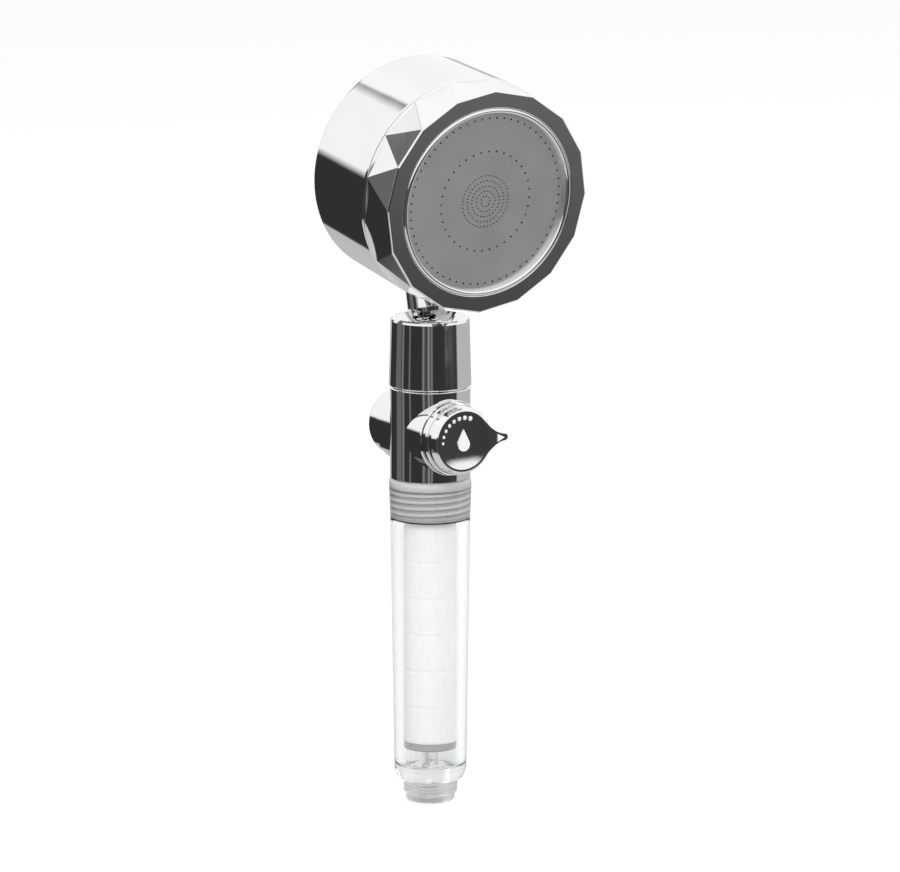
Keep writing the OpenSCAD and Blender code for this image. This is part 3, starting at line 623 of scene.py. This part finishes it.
def fan():
    """Four cambered chrome blades with rounded edges on a hub with a disc."""
    low, high, tip_r = extent("fan_blades", HEAD)
    blades, phase, pitch = 4, math.radians(35), math.radians(11)
    middle, half_w, thick, shell_r = 21.8 * MM, 14.6 * MM, 1.1 * MM, 39.4 * MM
    half_len = tip_r - middle
    middle_z, sag = -30.95 * MM, 1 * MM
    across, around = 10, 72
    edge, edge_start = 0.035, 0.96  # the rounded edge, in shares of the way to the blade's rim
    points, faces = [], []

    def sheet_z(y):
        return shell_r - sag - math.sqrt(shell_r**2 - y * y)

    for blade in range(blades):
        spin = Matrix.Rotation(phase + blade * TURN / blades, 4, "Z")
        tilt = Matrix.Translation((0, 0, middle_z)) @ Matrix.Rotation(pitch, 4, "X")
        place = HEAD @ spin @ tilt
        start = len(points)
        # Rings run from the middle of the outer face, round the edge, to the inner face
        rings = [(k / across, 1) for k in range(1, across)]
        rings += [(1 - edge * (1 - math.cos(a)), math.cos(a)) for a in (0.0, 0.6, 1.2, 1.57)]
        rings += [(s, -h) for s, h in reversed(rings[:-1])]
        for share, height in rings:
            for k in range(around):
                a = TURN * k / around
                x = middle + share * half_len * math.cos(a)
                y = share * half_w * math.sin(a) * (1 + 0.28 * math.cos(a))
                lift = height if share >= edge_start else math.copysign(1, height)
                points.append(place @ Vector((x, y, sheet_z(y) + thick / 2 * lift)))
        last = len(rings) - 1
        for ring in range(last):
            for k in range(around):
                n = (k + 1) % around
                a, b = start + ring * around, start + (ring + 1) * around
                faces.append((a + k, b + k, b + n, a + n))
        for ring, sign in ((0, 1), (last, -1)):
            points.append(place @ Vector((middle, 0, sheet_z(0) + sign * thick / 2)))
            centre, a = len(points) - 1, start + ring * around
            for k in range(around):
                n = (k + 1) % around
                faces.append((centre, a + k, a + n) if sign > 0 else (centre, a + n, a + k))
    bore_r, hub_r, disc_r = 2.5 * MM, 5.2 * MM, 9.4 * MM
    disc_low, disc_high = -33.4 * MM, -30.8 * MM
    outline = [
        (bore_r, low + 0.9 * MM), (hub_r, low + 0.9 * MM), (hub_r, disc_low), (disc_r, disc_low),
        (disc_r, disc_high), (hub_r, disc_high), (hub_r, high), (bore_r, high),
    ]
    hub_points, hub_faces = turned(soften(outline, 0.3 * MM), HEAD)
    shift = len(points)
    faces += [tuple(shift + v for v in face) for face in hub_faces]
    make_piece("fan_blade_set", points + hub_points, faces, "fan_blades", 50)


# ---------- Stage ----------


def floor():
    """Plain pale floor under the foot of the handle."""
    s = Shader("floor_paint", (0.95, 0.95, 0.95), roughness=0.9)
    s.bsdf.inputs["Specular IOR Level"].default_value = 0
    s.colour(s.noise(3), (0.945, 0.945, 0.945), (0.955, 0.955, 0.955))
    half = 30
    mesh = bpy.data.meshes.new("floor")
    z = CAD_BOX[0].z - 0.2 * MM
    corners = [(-half, -half, z), (half, -half, z), (half, half, z), (-half, half, z)]
    mesh.from_pydata(corners, [], [(0, 1, 2, 3)])
    mesh.materials.append(s.material)
    obj = bpy.data.objects.new("floor", mesh)
    bpy.context.scene.collection.objects.link(obj)
    obj.visible_glossy = False


def softbox(name, place, size, power):
    """A square area light that looks at the head."""
    light = bpy.data.lights.new(name, "AREA")
    light.size, light.energy = size, power
    obj = bpy.data.objects.new(name, light)
    bpy.context.scene.collection.objects.link(obj)
    obj.location = place
    aim = (CAD_BOX[0] + CAD_BOX[1]) / 2 - obj.location
    obj.rotation_euler = aim.to_track_quat("-Z", "Y").to_euler()
    obj.visible_glossy = False


# The studio that shiny surfaces mirror: heading in degrees, 0 in front and 90 to the
# selector's side, and how bright the walls are from that heading on
WALLS = (
    (-180, 0.5), (-178.5, 0.03), (-118, 0.03), (-116, 0.2), (-112, 0.2), (-110, 0.03),
    (-94, 0.03), (-91, 0.2), (-87, 0.03), (-54, 0.03), (-50, 0.24), (-45, 0.06), (-38, 0.06),
    (-35, 0.34), (-31, 0.04), (-26, 0.22), (-22, 0.03), (20, 0.035), (35, 0.05), (50, 0.04),
    (54, 0.48), (130, 0.46), (166, 0.5), (180, 0.5),
)

# Panels in front of them: brightness, then where each starts and ends to full strength and
# fades out again, by heading and by height
PANELS = (
    (0.13, (-143, -141, -121, -119), (-0.32, -0.3, 0.6, 0.62)),
    (0.0, (-175, -173, -155, -151), (0.59, 0.63, 0.666, 0.669)),
    (0.95, (10, 14, 36, 39), (-0.125, -0.1, 0.04, 0.1)),
    (0.13, (8, 14, 48, 54), (-0.395, -0.35, -0.343, -0.333)),
)


def band(edges, span):
    """Ramp stops that rise between the first two edges and fall between the last two."""
    return [(edge / span + 0.5, grey) for edge, grey in zip(edges, (0.0, 1.0, 1.0, 0.0))]


def studio():
    """Pale surroundings, with dark walls and bright panels for shiny surfaces."""
    world = bpy.data.worlds.new("studio")
    bpy.context.scene.world = world
    world.use_nodes = True
    tree = world.node_tree
    tree.nodes.clear()
    link = tree.links.new

    def add(kind, **values):
        node = tree.nodes.new(kind)
        for key, value in values.items():
            setattr(node, key, value)
        return node

    def ramp(value, stops):
        node = add("ShaderNodeValToRGB")
        elements = node.color_ramp.elements
        while len(elements) < len(stops):
            elements.new(0.5)
        for element, (position, grey) in zip(elements, stops):
            element.position = position
            element.color = (grey, grey, grey, 1)
        link(value, node.inputs[0])
        return node.outputs[0]

    def calc(operation, a, b=0.0):
        node = add("ShaderNodeMath", operation=operation)
        for socket, value in zip(node.inputs, (a, b)):
            if isinstance(value, (int, float)):
                socket.default_value = value
            else:
                link(value, socket)
        return node.outputs[0]

    split = add("ShaderNodeSeparateXYZ")
    link(add("ShaderNodeTexCoord").outputs["Generated"], split.inputs[0])
    heading = calc("ARCTAN2", split.outputs[0], calc("MULTIPLY", split.outputs[1], -1.0))
    heading = calc("ADD", calc("DIVIDE", heading, TURN), 0.5)
    height = calc("ADD", calc("MULTIPLY", split.outputs[2], 0.5), 0.5)
    walls = ramp(heading, [(a / 360 + 0.5, grey) for a, grey in WALLS])
    # By height: pale floor, then the walls, then a bright ceiling
    open_sky = ramp(height, (
        (0.0, 0.62), (0.2, 0.6), (0.45, 0.85), (0.56, 0.95), (0.79, 0.95), (0.82, 1.0),
        (1.0, 1.0),
    ))
    is_wall = ramp(height, ((0.215, 0.0), (0.235, 1.0), (0.515, 1.0), (0.55, 0.0)))
    mixed = add("ShaderNodeMix", data_type="RGBA")
    link(is_wall, mixed.inputs["Factor"])
    link(open_sky, mixed.inputs[6])
    link(walls, mixed.inputs[7])
    seen = mixed.outputs[2]
    for grey, headings, heights in PANELS:
        mask = calc("MULTIPLY", ramp(heading, band(headings, 360)), ramp(height, band(heights, 2)))
        panel = add("ShaderNodeMix", data_type="RGBA")
        link(mask, panel.inputs["Factor"])
        link(seen, panel.inputs[6])
        panel.inputs[7].default_value = (grey, grey, grey, 1)
        seen = panel.outputs[2]
    mirrored, pale = add("ShaderNodeBackground"), add("ShaderNodeBackground")
    link(seen, mirrored.inputs["Color"])
    mirrored.inputs["Strength"].default_value = 1.08
    pale.inputs["Color"].default_value = (0.97, 0.97, 0.97, 1)
    # Light that only went through, or was caught in, a clear wall sees the pale side: it has
    # one to three transmissions. Light from chrome behind the wall has four or more
    path = add("ShaderNodeLightPath").outputs
    from_one_wall = calc("ABSOLUTE", calc("SUBTRACT", path["Transmission Depth"], 2.0))
    past_walls = calc("GREATER_THAN", from_one_wall, 1.5)
    was_mirrored = calc("GREATER_THAN", path["Glossy Depth"], 0.5)
    reflected = calc("MULTIPLY", path["Is Glossy Ray"], was_mirrored)
    choose = add("ShaderNodeMixShader")
    link(calc("MULTIPLY", past_walls, reflected), choose.inputs[0])
    link(pale.outputs[0], choose.inputs[1])
    link(mirrored.outputs[0], choose.inputs[2])
    link(choose.outputs[0], add("ShaderNodeOutputWorld").inputs["Surface"])


def camera():
    """Camera at the photograph's viewing angle: from the front left, a little above."""
    heading, height, distance = math.radians(-30.8), math.radians(11), 2.4
    width_seen = 0.345
    low, high = CAD_BOX
    back = Vector((
        math.sin(heading) * math.cos(height),
        -math.cos(heading) * math.cos(height),
        math.sin(height),
    ))
    data = bpy.data.cameras.new("camera")
    data.lens = data.sensor_width * distance / width_seen
    obj = bpy.data.objects.new("camera", data)
    bpy.context.scene.collection.objects.link(obj)
    obj.location = (low + high) / 2 + back * distance
    obj.rotation_euler = (-back).to_track_quat("-Z", "Y").to_euler()
    bpy.context.scene.camera = obj


camera()
studio()
softbox("key_light", (-1.2, -1.4, 1.6), 1.2, 18)
softbox("fill_light", (1.6, -0.6, 1.0), 1.4, 8)
floor()
dress_nodes()
for piece, width in (("mode_slider", 0.35), ("stop_button", 0.3)):
    bevelled(NODES[piece], width * MM, 40)
handle_tube()
coupling()
coupling_seal()
filter_cartridge()
button_spring()
bezel()
fan()
bpy.context.scene.view_settings.view_transform = "Standard"
